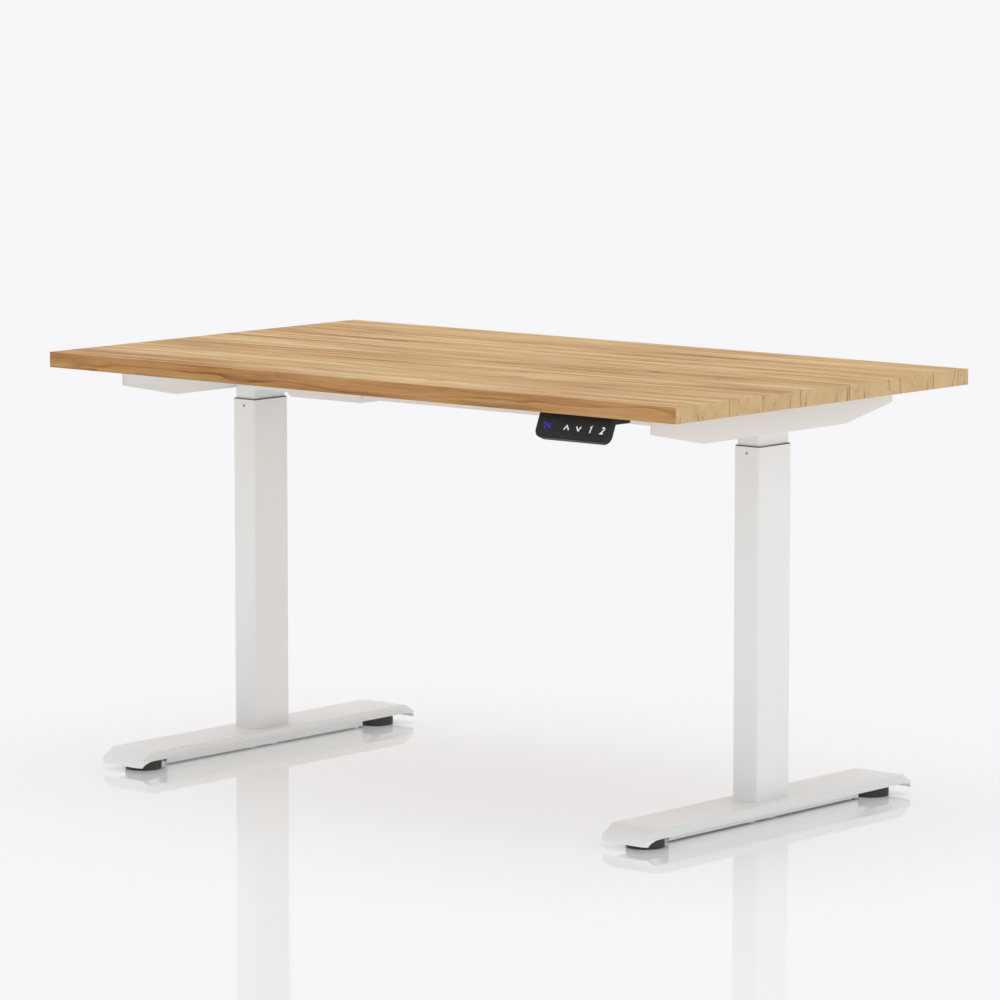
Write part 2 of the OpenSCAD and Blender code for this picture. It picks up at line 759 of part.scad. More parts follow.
// Half of a foot's cross-section outline, with its lip and its cove, pulled in by inset
function foot_side(inset) = let (
        lip_top = lip_h + 1.5,
        half_rise = (foot_h - 1 - lip_top) / 2,
        r = (half_rise * half_rise + cove_depth * cove_depth) / (2 * cove_depth),
        turn = asin(half_rise / r),
        middle = [foot_w / 2 + r - cove_depth - inset, lip_top + half_rise])
    concat([[foot_w / 2 + foot_flare - inset, 0], [foot_w / 2 + foot_flare - inset, lip_top - 0.5]],
        arc(middle, r, 180 + turn, 180 - turn, 10),
        [[foot_w / 2 - 1 - inset, foot_h - inset]]);

// The solid shape of a foot, pulled in by inset
module foot_form(inset) {
    half = foot_l / 2 - inset;
    top = foot_h - inset;
    nose = bend([half - nose_l, top], [half - nose_l * 0.33, top - 6], [half, nose_h + 4], 8);
    intersection() {
        translate([0, half, 0]) rotate([90, 0, 0]) linear_extrude(2 * half)
            polygon(concat(foot_side(inset), flip(foot_side(inset))));
        translate([-foot_w, 0, 0]) rotate([90, 0, 90]) linear_extrude(2 * foot_w)
            polygon(concat([[half, nose_h - inset]], [for (i = [8 : -1 : 0]) nose[i]],
                [for (i = [0 : 8]) [-nose[i][0], nose[i][1]]], [[-half, nose_h - inset]]));
        translate([0, 0, -1]) linear_extrude(foot_h + 2)
            round_rect(foot_w + 2 * foot_flare - 2 * inset, 2 * half, foot_r - inset);
    }
}

// What is cut away below a foot's lip, with a swept end inside each nose
module under_lip() {
    half = foot_l / 2;
    sweep = bend([half - 5, nose_h], [half - 8, lip_h], [half - 30, lip_h], 8);
    translate([-foot_w, 0, 0]) rotate([90, 0, 90]) linear_extrude(2 * foot_w)
        polygon(concat([[half - 5, -1]], sweep, flip(sweep), [[5 - half, -1]]));
}

module foot_cover(side) {
    color("whitesmoke") translate([side * col_x, 0, 0]) difference() {
        union() {
            difference() {
                foot_form(0);
                foot_form(foot_sheet);
                under_lip();
            }
            for (s = [-1, 1]) translate([0, s * glide_span / 2, 0])
                bar_z(boss_r, boss_low, foot_h - foot_sheet / 2);
        }
        for (s = [-1, 1]) translate([0, s * glide_span / 2, 0])
            bar_z(stud_r + fit, boss_low - 1, foot_h - foot_sheet);
        for (s = [-1, 1]) translate([0, s * foot_bolt_y, 0]) bar_z(foot_bolt_r, 0, foot_h + 1);
    }
}

module foot_core(side) {
    top = foot_h - foot_sheet;
    color("whitesmoke") translate([side * col_x, 0, 0]) difference() {
        block([-core_w / 2, -core_l / 2, core_gap], [core_w / 2, core_l / 2, top]);
        block([-core_w / 2 + core_wall, -core_l, core_gap + core_wall],
            [core_w / 2 - core_wall, core_l, top - core_wall]);
        for (s = [-1, 1]) translate([0, s * foot_bolt_y, 0]) {
            bar_z(foot_bolt_r, 0, foot_h);
            bar_z(core_w / 2 - core_wall, 0, core_gap + core_wall + 1);
        }
    }
}

module foot_bolts(side) {
    seat = foot_h - foot_sheet - core_wall;
    color("silver") for (s = [-1, 1]) translate([side * col_x, s * foot_bolt_y, 0]) {
        bar_z(foot_bolt_r, seat, plate_top);
        bar_z(6.5, seat - 7, seat);
    }
}

module glide(side, end) {
    color([0.18, 0.18, 0.18]) translate([side * col_x, end * glide_span / 2, 0]) {
        bar_z(glide_d / 2, 0, glide_h - 2);
        translate([0, 0, glide_h - 2]) cylinder(h = 2, r1 = glide_d / 2, r2 = glide_d / 2 - 2);
        bar_z(stud_r, glide_h, stud_top);
    }
}

desktop();
side_bracket(-1);  // bracket_left
side_bracket(1);  // bracket_right
crossbeam();
motor_cover();
motor_body();
motor_saddle();
saddle_screws();
reducer_case();
reducer_lid();
motor_pinion();
shaft_gear();
drive_shaft();
bevel_pinions();
inner_tube(-1);  // inner_tube_left
inner_tube(1);  // inner_tube_right
lower_bush(-1);  // lower_bush_left
lower_bush(1);  // lower_bush_right
gearbox(-1);  // gearbox_left
gearbox(1);  // gearbox_right
screw_bearing(-1);  // screw_bearing_left
screw_bearing(1);  // screw_bearing_right
bevel_gear(-1);  // bevel_gear_left
bevel_gear(1);  // bevel_gear_right
leadscrew(-1);  // leadscrew_left
leadscrew(1);  // leadscrew_right
frame_bolts();
desk_screws();
control_case();
control_lid();
control_board();
power_inlet();
handset_case();
handset_panel();
handset_window();
handset_board();
key(0);  // key_up
key(1);  // key_down
key(2);  // key_one
key(3);  // key_two
outer_tube(-1);  // outer_tube_left
outer_tube(1);  // outer_tube_right
top_bush(-1);  // top_bush_left
top_bush(1);  // top_bush_right
bush_screws(-1);  // bush_screws_left
bush_screws(1);  // bush_screws_right
screw_tube(-1);  // screw_tube_left
screw_tube(1);  // screw_tube_right
screw_nut(-1);  // screw_nut_left
screw_nut(1);  // screw_nut_right
foot_cover(-1);  // foot_cover_left
foot_cover(1);  // foot_cover_right
foot_core(-1);  // foot_core_left
foot_core(1);  // foot_core_right
foot_bolts(-1);  // foot_bolts_left
foot_bolts(1);  // foot_bolts_right
glide(-1, -1);  // glide_left_front
glide(-1, 1);  // glide_left_back
glide(1, -1);  // glide_right_front
glide(1, 1);  // glide_right_back
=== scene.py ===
# %% [markdown]
# # A height adjustable desk
# This lesson dresses a standing desk: a glued-up wooden top on a powder coated steel frame with two
# telescoping legs and one motor. Lengths are in metres, +Z is up and the user sits at -Y.

# %% Load the engineered parts
import json
import math
import random

import bmesh
import bpy
from mathutils import Matrix, Vector


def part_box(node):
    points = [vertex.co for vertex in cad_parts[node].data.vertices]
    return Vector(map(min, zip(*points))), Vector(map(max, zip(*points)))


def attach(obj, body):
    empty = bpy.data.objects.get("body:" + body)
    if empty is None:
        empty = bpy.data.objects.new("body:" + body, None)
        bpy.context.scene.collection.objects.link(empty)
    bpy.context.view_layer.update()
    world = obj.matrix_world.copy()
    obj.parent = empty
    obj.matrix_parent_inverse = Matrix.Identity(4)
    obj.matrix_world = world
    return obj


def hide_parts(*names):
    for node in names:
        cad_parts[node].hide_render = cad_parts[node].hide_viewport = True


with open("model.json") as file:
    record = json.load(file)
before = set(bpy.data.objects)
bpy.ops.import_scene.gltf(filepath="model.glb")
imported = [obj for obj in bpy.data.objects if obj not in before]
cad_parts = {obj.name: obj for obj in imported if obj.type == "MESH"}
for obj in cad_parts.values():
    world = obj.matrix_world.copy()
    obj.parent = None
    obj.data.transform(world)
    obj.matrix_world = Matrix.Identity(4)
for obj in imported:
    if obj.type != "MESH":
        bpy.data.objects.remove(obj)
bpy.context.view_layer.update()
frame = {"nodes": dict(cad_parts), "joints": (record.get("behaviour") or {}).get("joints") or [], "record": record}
NODES = frame["nodes"]
MM = 0.001
EVEN = 0.5  # the average of a noise, which runs from 0 to 1

# %% [markdown]
# ## Small helpers
# Shader and geometry trees are both made of nodes and links. One function that adds a node, sets it
# and feeds its inputs keeps every later tree short enough to read from top to bottom.

# %% Helpers for node trees


def add(tree, kind, inputs=None, **settings):
    """Adds a node, sets it, and feeds its inputs with values or with the outputs of other nodes."""
    node = tree.nodes.new(kind)
    for name, value in settings.items():
        setattr(node, name, value)
    for key, value in (inputs or {}).items():
        if isinstance(value, bpy.types.NodeSocket):
            tree.links.new(value, node.inputs[key])
        else:
            node.inputs[key].default_value = value
    return node


def calc(tree, operation, a, b=0.0, c=0.0):
    """One sum on two or three numbers."""
    return add(tree, "ShaderNodeMath", {0: a, 1: b, 2: c}, operation=operation).outputs[0]


def blend_colours(tree, factor, a, b, mode="MIX"):
    """Colour a, moved towards colour b by the factor."""
    node = add(tree, "ShaderNodeMix", {0: factor, 6: a, 7: b}, data_type="RGBA", blend_type=mode)
    return node.outputs[2]


def ramp(tree, factor, stops, interpolation="LINEAR"):
    """A colour ramp with (position, colour) stops; a plain number stands for a grey."""
    node = add(tree, "ShaderNodeValToRGB", {0: factor})
    node.color_ramp.interpolation = interpolation
    band = node.color_ramp.elements
    while len(band) < len(stops):
        band.new(0.5)
    for element, (position, colour) in zip(band, stops):
        if isinstance(colour, (int, float)):
            colour = (colour, colour, colour)
        element.position = position
        element.color = (*colour, 1)
    return node.outputs[0]


def spread(tree, value, low, high, to_low, to_high):
    """Maps a number from one range to another and clamps it."""
    inputs = {0: value, 1: low, 2: high, 3: to_low, 4: to_high}
    return add(tree, "ShaderNodeMapRange", inputs).outputs[0]


def noise(tree, vector, scale, detail=3.0, rough=0.55):
    """A soft random field; the scale is in lumps per metre."""
    inputs = {"Vector": vector, "Scale": scale, "Detail": detail, "Roughness": rough}
    return add(tree, "ShaderNodeTexNoise", inputs).outputs["Fac"]


def stretched(tree, vector, x, y, z):
    """The same place with each axis scaled, which draws a pattern out along the smaller ones."""
    return add(tree, "ShaderNodeMapping", {"Vector": vector, "Scale": (x, y, z)}).outputs[0]


def new_group(name, kind, inputs, outputs):
    """A node group with typed sockets: (name, type, value) for inputs, (name, type) for outputs."""
    group = bpy.data.node_groups.new(name, kind)
    for label, socket, value in inputs:
        item = group.interface.new_socket(label, in_out="INPUT", socket_type=socket)
        if value is not None:
            item.default_value = value
    for label, socket in outputs:
        group.interface.new_socket(label, in_out="OUTPUT", socket_type=socket)
    start = group.nodes.new("NodeGroupInput")
    end = group.nodes.new("NodeGroupOutput")
    return group, start.outputs, end.inputs


print("helpers ready")

# %% [markdown]
# ## Shared surface effects
# Powder coat, moulded plastic and cast metal are never perfectly smooth or even. A texture of fine
# lumps and a slow drift of tone come from one group, placed in each material with its own sizes,
# so that every finish keeps its real scale. Drawn and turned steel gets a second group: hair lines
# along one axis.

# %% Group: fine texture
FINE, given, out = new_group("fine_texture", "ShaderNodeTree",
    [("Lump size", "NodeSocketFloat", 1.0), ("Unevenness", "NodeSocketFloat", 0.04)],
    [("Height", "NodeSocketFloat"), ("Tone", "NodeSocketFloat"), ("Gloss shift", "NodeSocketFloat")])
place = add(FINE, "ShaderNodeTexCoord").outputs["Object"]
lumps = calc(FINE, "DIVIDE", 1.0, calc(FINE, "MULTIPLY", given["Lump size"], MM))
FINE.links.new(noise(FINE, place, lumps, 2.0, 0.5), out["Height"])
drift = calc(FINE, "SUBTRACT", noise(FINE, place, 7.0, 3.0, 0.5), EVEN)
FINE.links.new(calc(FINE, "MULTIPLY_ADD", drift, given["Unevenness"], 1.0), out["Tone"])
smudge = noise(FINE, place, 31.0, 4.0, 0.6)
FINE.links.new(spread(FINE, smudge, 0.35, 0.7, -0.04, 0.06), out["Gloss shift"])
print("group", FINE.name)

# %% Group: hair lines
HAIR, given, out = new_group("hair_lines", "ShaderNodeTree",
    [("Stretch", "NodeSocketVector", (1.0, 1.0, 1.0)), ("Depth", "NodeSocketFloat", 1.0)],
    [("Height", "NodeSocketFloat"), ("Tone", "NodeSocketFloat")])
place = add(HAIR, "ShaderNodeTexCoord").outputs["Object"]
drawn = add(HAIR, "ShaderNodeVectorMath", {0: place, 1: given["Stretch"]}, operation="MULTIPLY")
lines = noise(HAIR, drawn.outputs[0], 900.0, 3.0, 0.6)
HAIR.links.new(calc(HAIR, "MULTIPLY", lines, given["Depth"]), out["Height"])
HAIR.links.new(spread(HAIR, lines, 0.3, 0.7, 0.82, 1.08), out["Tone"])
print("group", HAIR.name)

# %% [markdown]
# ## Painted, moulded and metal finishes
# The frame is powder coated steel: an off-white satin skin with faint orange peel. The plastics are
# spark-eroded mouldings, so their bump is finer and their gloss lower. A Bevel node rounds every
# edge by less than a millimetre in the shading, as folded sheet and moulded corners are rounded,
# and leaves the engineered meshes untouched.

# %% One function for paint, plastic and castings


def new_material(name):
    """A material with its node tree and its shader."""
    material = bpy.data.materials.new(name)
    material.use_nodes = True
    return material, material.node_tree, material.node_tree.nodes["Principled BSDF"]


def coated(name, colour, roughness, lump_mm, depth_mm, unevenness=0.05, edge_mm=0.6, metallic=0.0,
        specular=0.5):
    """A paint, plastic or cast finish: even colour with drift, lumps, soft edges."""
    material, tree, shader = new_material(name)
    fine = add(tree, "ShaderNodeGroup", node_tree=FINE)
    fine.inputs["Lump size"].default_value = lump_mm
    fine.inputs["Unevenness"].default_value = unevenness
    tint = blend_colours(tree, 1.0, (*colour, 1), fine.outputs["Tone"], "MULTIPLY")
    tree.links.new(tint, shader.inputs["Base Color"])
    tree.links.new(calc(tree, "ADD", fine.outputs["Gloss shift"], roughness), shader.inputs["Roughness"])
    soft = add(tree, "ShaderNodeBevel", {"Radius": edge_mm * MM}, samples=4)
    bump = add(tree, "ShaderNodeBump", {"Height": fine.outputs["Height"], "Distance": depth_mm * MM,
        "Normal": soft.outputs[0]})
    tree.links.new(bump.outputs[0], shader.inputs["Normal"])
    shader.inputs["Metallic"].default_value = metallic
    shader.inputs["Specular IOR Level"].default_value = specular
    return material


DULL = 0.28  # black plastic in a bright room needs less than the usual mirror share of 0.5
FINISH = {
    "white_paint": coated("white_powder_coat", (0.760, 0.770, 0.762), 0.38, 1.1, 0.012, 0.03, 0.7),
    "bush_plastic": coated("black_acetal", (0.020, 0.020, 0.022), 0.45, 0.5, 0.01),
    "glide_plastic": coated("charcoal_nylon", (0.040, 0.040, 0.042), 0.55, 0.45, 0.02, 0.1),
    "box_plastic": coated("charcoal_abs", (0.028, 0.028, 0.030), 0.50, 0.4, 0.02, 0.1),
    "handset_plastic": coated("black_abs", (0.011, 0.011, 0.012), 0.48, 0.35, 0.015, 0.1, 0.9,
        specular=DULL),
    "face_plastic": coated("black_faceplate", (0.010, 0.010, 0.011), 0.42, 0.35, 0.010, 0.1, 0.5,
        specular=DULL),
    "gear_plastic": coated("ivory_acetal", (0.70, 0.66, 0.54), 0.40, 0.6, 0.01, 0.06, 0.3),
    "motor_steel": coated("black_motor_paint", (0.030, 0.030, 0.033), 0.36, 0.9, 0.012, 0.1),
    "cast_alloy": coated("cast_zinc_alloy", (0.46, 0.47, 0.49), 0.46, 1.4, 0.05, 0.2, 0.5, metallic=0.9),
    "window": coated("smoked_window", (0.006, 0.006, 0.014), 0.20, 4.0, 0.001, 0.05, 0.2,
        specular=DULL),
}
print("coated finishes:", ", ".join(FINISH))

# %% [markdown]
# ## Bare metals and the circuit board
# Leadscrews, shafts and bolts are bare or zinc plated, and the bevel gears are sintered bronze.
# Their hair lines follow the way each was drawn or turned: the ground steel's run along Z, the axis of the
# screws. The board is a green mask over rows of copper.

# %% Metals


def metal(name, colour, roughness, stretch, depth_mm=0.004):
    """A bare metal with hair lines drawn along the axis whose stretch is small."""
    material, tree, shader = new_material(name)
    hair = add(tree, "ShaderNodeGroup", node_tree=HAIR)
    hair.inputs["Stretch"].default_value = stretch
    tint = blend_colours(tree, 1.0, (*colour, 1), hair.outputs["Tone"], "MULTIPLY")
    tree.links.new(tint, shader.inputs["Base Color"])
    tree.links.new(spread(tree, hair.outputs["Tone"], 0.8, 1.1, roughness + 0.08, roughness - 0.06),
        shader.inputs["Roughness"])
    bump = add(tree, "ShaderNodeBump", {"Height": hair.outputs["Height"], "Distance": depth_mm * MM})
    tree.links.new(bump.outputs[0], shader.inputs["Normal"])
    shader.inputs["Metallic"].default_value = 1.0
    return material


FINISH["steel"] = metal("ground_steel", (0.52, 0.52, 0.53), 0.28, (1.0, 1.0, 0.03))
FINISH["zinc"] = metal("zinc_plate", (0.60, 0.61, 0.63), 0.34, (0.5, 0.5, 0.5))
FINISH["black_oxide"] = metal("dark_zinc_steel", (0.30, 0.30, 0.31), 0.45, (0.5, 0.5, 0.5))
FINISH["gear_brass"] = metal("sintered_bronze", (0.62, 0.43, 0.20), 0.42, (0.4, 0.4, 0.4), 0.01)
print("metals added")

# %% Circuit board


def circuit_board():
    """Green solder mask with copper tracks showing through in rows."""
    material, tree, shader = new_material("green_circuit_board")
    place = add(tree, "ShaderNodeTexCoord").outputs["Object"]
    cells = add(tree, "ShaderNodeTexVoronoi", {"Vector": stretched(tree, place, 1, 1.6, 1),
        "Scale": 260.0, "Randomness": 0.35}, distance="CHEBYCHEV")
    tracks = spread(tree, cells.outputs["Distance"], 0.34, 0.40, 0.0, 1.0)
    colour = blend_colours(tree, tracks, (0.012, 0.085, 0.035, 1), (0.05, 0.24, 0.09, 1))
    tree.links.new(colour, shader.inputs["Base Color"])
    bump = add(tree, "ShaderNodeBump", {"Height": tracks, "Distance": 0.05 * MM})
    tree.links.new(bump.outputs[0], shader.inputs["Normal"])
    shader.inputs["Roughness"].default_value = 0.32
    return material


FINISH["board"] = circuit_board()
print("circuit board added")

# %% [markdown]
# ## Wood
# A solid top is glued up from long staves sawn from different logs. The growth rings are cylinders
# round each log's heart, so one pattern of rings, cut by the faces of the board, gives long flames
# on top and arcs on the end grain without any picture. Each stave has its own heart, a little off
# its middle and well below or above it, and the heart line wanders along the stave. Fine pores run
# with the grain, and a few dark checks and knots break it.

# %% Short dark marks


def parts_of(tree, vector):
    """The three numbers of a vector or a colour."""
    return add(tree, "ShaderNodeSeparateXYZ", {0: vector}).outputs


def short_marks(tree, vector, rare_above, inner, outer):
    """Spindle-shaped marks, one in each cell of a stretched pattern whose random number is high."""
    cells = add(tree, "ShaderNodeTexVoronoi", {"Vector": vector, "Scale": 1.0, "Randomness": 1.0})
    rare = parts_of(tree, cells.outputs["Color"])[0]
    core = spread(tree, cells.outputs["Distance"], inner, outer, 1.0, 0.0)
    return calc(tree, "MULTIPLY", core, calc(tree, "GREATER_THAN", rare, rare_above))


print("marks ready")

# %% Wood material
YEAR_RING = 8.5 * MM  # the growth of one year
WANDER = 90 * MM  # how far the heart line strays from straight
LOG_STEP = 3.71  # metres of pattern between two staves


def carried(tree, name, output="Fac"):
    """A value that each face of the mesh carries."""
    return add(tree, "ShaderNodeAttribute", attribute_name=name).outputs[output]


def solid_wood():
    """Ring pattern round each stave's own heart, with streaks, pores, checks and knots."""
    material, tree, shader = new_material("oiled_hardwood")
    place = add(tree, "ShaderNodeTexCoord").outputs["Object"]
    heart = carried(tree, "heart", "Vector")
    stave = carried(tree, "stave")
    tone = carried(tree, "tone")
    end = carried(tree, "end_grain")

    # where this point is in its own log: each stave reads another stretch of the patterns
    shift = add(tree, "ShaderNodeCombineXYZ", {0: calc(tree, "MULTIPLY", stave, LOG_STEP)}).outputs[0]
    log = add(tree, "ShaderNodeVectorMath", {0: place, 1: shift}, operation="ADD").outputs[0]
    away = add(tree, "ShaderNodeVectorMath", {0: place, 1: heart}, operation="SUBTRACT").outputs[0]
    across = parts_of(tree, away)
    slow = add(tree, "ShaderNodeTexNoise", {"Vector": stretched(tree, log, 1.6, 14, 14), "Scale": 1.0,
        "Detail": 3.0, "Roughness": 0.5}).outputs["Color"]
    bend = parts_of(tree, slow)
    y = calc(tree, "MULTIPLY_ADD", bend[0], WANDER, across[1])
    z = calc(tree, "MULTIPLY_ADD", bend[1], WANDER, across[2])
    squares = calc(tree, "ADD", calc(tree, "POWER", y, 2.0), calc(tree, "POWER", z, 2.0))
    grown = calc(tree, "DIVIDE", calc(tree, "SQRT", squares), YEAR_RING)

    # a year's ring starts pale and ends in a dark line, darker in some years than in others
    rings = calc(tree, "FRACT", grown)
    late = ramp(tree, rings, [(0.0, 0.0), (0.6, 0.15), (0.86, 0.9), (0.93, 1.0), (1.0, 0.0)])
    year = add(tree, "ShaderNodeTexWhiteNoise", {"W": calc(tree, "FLOOR", grown)}, noise_dimensions="1D")
    late = calc(tree, "MULTIPLY", late, calc(tree, "POWER", year.outputs["Value"], 1.6))

    # long bands and streaks, and the fine fibres and pores
    bands = noise(tree, stretched(tree, log, 1.3, 17, 17), 1.0, 2.0, 0.55)
    streaks = noise(tree, stretched(tree, log, 2.8, 62, 62), 1.0, 4.0, 0.70)
    fibres = noise(tree, stretched(tree, log, 14, 620, 620), 1.0, 3.0, 0.6)
    holes = noise(tree, stretched(tree, log, 45, 1500, 1500), 1.0, 2.0, 0.5)
    pores = spread(tree, holes, 0.60, 0.72, 0.0, 1.0)

    # how dark the wood is: streaks count less on the end grain and on the front edge, whose tone holds painted
    # shade
    wide = spread(tree, bands, 0.3, 0.7, -0.26, 0.26)
    thin = spread(tree, streaks, 0.3, 0.7, -0.42, 0.42)
    on_end = spread(tree, end, 0.0, 1.0, 1.0, 0.35)
    on_front = spread(tree, tone, 0.10, 0.18, 1.0, 0.5)
    along = calc(tree, "MULTIPLY", on_end, on_front)
    ringed = calc(tree, "MULTIPLY", late, 0.26)
    depth = calc(tree, "MULTIPLY_ADD", calc(tree, "ADD", wide, thin), along, ringed)
    depth = calc(tree, "MULTIPLY_ADD", calc(tree, "SUBTRACT", fibres, EVEN), 0.22, depth)
    depth = calc(tree, "ADD", depth, tone)
    colour = ramp(tree, calc(tree, "ADD", depth, 0.36),
        [(0.0, (0.650, 0.465, 0.245)), (0.35, (0.535, 0.350, 0.160)), (0.62, (0.450, 0.245, 0.098)),
         (0.85, (0.340, 0.160, 0.056)), (1.0, (0.205, 0.088, 0.030))])
    colour = blend_colours(tree, calc(tree, "MULTIPLY", pores, 0.22), colour, (0.23, 0.115, 0.048, 1))

    # drying checks and small knots, long with the grain, and cracks that stand up on the end grain
    checks = short_marks(tree, stretched(tree, log, 2.6, 44, 44), 0.50, 0.04, 0.34)
    knots = short_marks(tree, stretched(tree, log, 9.0, 26, 26), 0.86, 0.04, 0.30)
    frayed = spread(tree, fibres, 0.42, 0.58, 0.35, 1.0)
    either = calc(tree, "MAXIMUM", checks, knots)
    lengthwise = calc(tree, "MULTIPLY", either, calc(tree, "SUBTRACT", 1.0, end))
    sawn = add(tree, "ShaderNodeVectorMath", {0: slow, 1: (0.0, 0.02, 0.0), 2: place},
        operation="MULTIPLY_ADD").outputs[0]
    cracks = short_marks(tree, stretched(tree, sawn, 0.0, 170, 14), 0.50, 0.16, 0.27)
    mark = calc(tree, "MULTIPLY", lengthwise, frayed)
    mark = calc(tree, "MULTIPLY_ADD", cracks, calc(tree, "MULTIPLY", end, 0.8), mark)

    # the glue lines, which show as fine dark joints where the end grain has soaked up oil
    span = parts_of(tree, carried(tree, "span", "Vector"))
    here = parts_of(tree, place)[1]
    from_front = calc(tree, "SUBTRACT", here, span[0])
    from_back = calc(tree, "SUBTRACT", span[1], here)
    near = calc(tree, "MINIMUM", from_front, from_back)
    ragged = calc(tree, "MULTIPLY_ADD", calc(tree, "SUBTRACT", bend[2], EVEN), 4 * MM, near)
    joint = spread(tree, ragged, 0.6 * MM, 1.6 * MM, 1.0, 0.0)
    joint = calc(tree, "MULTIPLY", joint, spread(tree, end, 0.0, 1.0, 0.12, 0.60))
    mark = calc(tree, "MAXIMUM", mark, joint)
    # the end grain is painted paler: partly its own colour, partly painted light on faces that look towards the
    # light
    colour = blend_colours(tree, calc(tree, "MULTIPLY", end, 0.25), colour, (0.600, 0.470, 0.310, 1))
    colour = blend_colours(tree, calc(tree, "MULTIPLY", mark, 0.72), colour, (0.150, 0.070, 0.022, 1))

    tree.links.new(colour, shader.inputs["Base Color"])
    tree.links.new(spread(tree, calc(tree, "SUBTRACT", fibres, pores), -0.5, 0.8, 0.70, 0.52),
        shader.inputs["Roughness"])
    hollows = calc(tree, "ADD", pores, mark)
    relief = calc(tree, "SUBTRACT", calc(tree, "MULTIPLY", fibres, 0.4), hollows)
    bump = add(tree, "ShaderNodeBump", {"Height": relief, "Distance": 0.06 * MM, "Strength": 0.6})
    tree.links.new(bump.outputs[0], shader.inputs["Normal"])
    shader.inputs["Specular IOR Level"].default_value = 0.08
    return material


FINISH["wood"] = solid_wood()
print("wood ready")

# %% [markdown]
# ## Dress the engineered parts
# Every part is recorded with the name of its material slot, so one loop gives each part its finish.
# The meshes stay as they were engineered.

# %% Finishes by slot
slot_of = {part["node"]: part["material_slot"] for part in frame["record"]["subparts"]}
for name, part in NODES.items():
    part.data.materials.clear()
    part.data.materials.append(FINISH[slot_of[name]])
print(len(slot_of), "parts dressed")

# %% [markdown]
# ## The glued-up top
# The engineered desktop is one block. A real one shows its staves: eight boards of different width,
# each with a slightly eased edge, so that a hair line shows at every glue joint. Boxes with a fine
# bevel are enough, because the grain lives in the material. The faces of each box carry the stave's
# number, the place of its log's heart, a tone, a mark for end grain and the places of the two glue
# joints as attributes. The tone paints the front edge darker, partly for the browner colour of its
# long grain and partly as painted shade on a face that looks away from the light. It paints the end
# grain paler, partly for its own colour and partly as painted light on faces that look towards the light.

# %% Staves


def mesh_object(name, bm, finish, smooth=False):
    """Turns a bmesh into an object with one material."""
    mesh = bpy.data.meshes.new(name)
    bm.to_mesh(mesh)
    bm.free()
    mesh.materials.append(FINISH[finish])
    for face in mesh.polygons:
        face.use_smooth = smooth
    piece = bpy.data.objects.new(name, mesh)
    bpy.context.scene.collection.objects.link(piece)
    return piece


def finished(piece):
    """Applies the modifiers, so that the piece is a plain mesh."""
    seen = piece.evaluated_get(bpy.context.evaluated_depsgraph_get())
    plain = bpy.data.meshes.new_from_object(seen)
    piece.modifiers.clear()
    piece.data = plain
    return piece


low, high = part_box("desktop")
stave_widths = [0.139, 0.089, 0.100, 0.134, 0.142, 0.095, 0.072]
stave_edges = [low.y]
for width in stave_widths:
    stave_edges.append(stave_edges[-1] + width)
stave_edges.append(high.y)
# painted light and shade in the tone: the ends are painted paler and the front edge darker, each partly the wood's
# own colour
END_PALER_AND_LIT, FRONT_BROWNER_AND_SHADED = 0.10, 0.26
NO_JOINT = 1.0  # an outer edge has no glue line, so its joint is set this far off
dice = random.Random(11)
bm = bmesh.new()
number = bm.faces.layers.float.new("stave")
heart = bm.faces.layers.float_vector.new("heart")
tone = bm.faces.layers.float.new("tone")
end_grain = bm.faces.layers.float.new("end_grain")
span = bm.faces.layers.float_vector.new("span")
for i, (front, back) in enumerate(zip(stave_edges, stave_edges[1:])):
    size = Vector((high.x - low.x, back - front, high.z - low.z))
    middle = Vector((0, (front + back) / 2, (low.z + high.z) / 2))
    made = bmesh.ops.create_cube(bm, matrix=Matrix.Translation(middle) @ Matrix.Diagonal((*size, 1)))
    below = dice.choice((-1, 1)) * dice.uniform(0.030, 0.075)
    stave_tone = dice.uniform(-0.07, 0.07)
    sideways = dice.uniform(-0.4, 0.4) * size.y
    joints = (front - NO_JOINT * (front == low.y), back + NO_JOINT * (back == high.y), 0)
    for face in {f for v in made["verts"] for f in v.link_faces}:
        centre = face.calc_center_median()
        on_front = centre.y < low.y + MM
        face[number] = i + 0.5
        face[span] = Vector(joints)
        face[end_grain] = float(abs(centre.x) > size.x / 4)
        face[tone] = stave_tone - END_PALER_AND_LIT * face[end_grain] + FRONT_BROWNER_AND_SHADED * on_front
        face[heart] = Vector((0, middle.y + sideways, middle.z + below))
staves = mesh_object("staves", bm, "wood")
ease = staves.modifiers.new("ease", "BEVEL")
ease.width = 0.35 * MM
ease.segments = 2
finished(staves)
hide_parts("desktop")
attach(staves, "top")
print("staves:", len(stave_edges) - 1, "faces:", len(staves.data.polygons))

# %% [markdown]
# ## Wood screws
# Pan head screws with a hexagon socket hold the brackets, the control box and the handset. One
# screw is lathed from a short profile, and a Geometry Nodes tree places a copy at every point of a
# mesh. The points come from the engineered screws themselves, one for each loose solid.

# %% One tree that places a piece on points
PLACE, given, out = new_group("place_on_points", "GeometryNodeTree",
    [("Geometry", "NodeSocketGeometry", None), ("Piece", "NodeSocketObject", None),
     ("Turn", "NodeSocketFloat", 0.0), ("Size", "NodeSocketFloat", 1.0),
     ("Seed", "NodeSocketInt", 3), ("Finish", "NodeSocketMaterial", None)],
    [("Geometry", "NodeSocketGeometry")])
source = add(PLACE, "GeometryNodeObjectInfo", {"Object": given["Piece"]})
angle = add(PLACE, "FunctionNodeRandomValue", {"Max": given["Turn"], "Seed": given["Seed"]},
    data_type="FLOAT")
turned = add(PLACE, "ShaderNodeCombineXYZ", {2: angle.outputs[1]})
facing = add(PLACE, "GeometryNodeInputNamedAttribute", {"Name": "facing"}, data_type="FLOAT_VECTOR")
whole = add(PLACE, "ShaderNodeVectorMath", {0: facing.outputs[0], 1: turned.outputs[0]},
    operation="ADD")
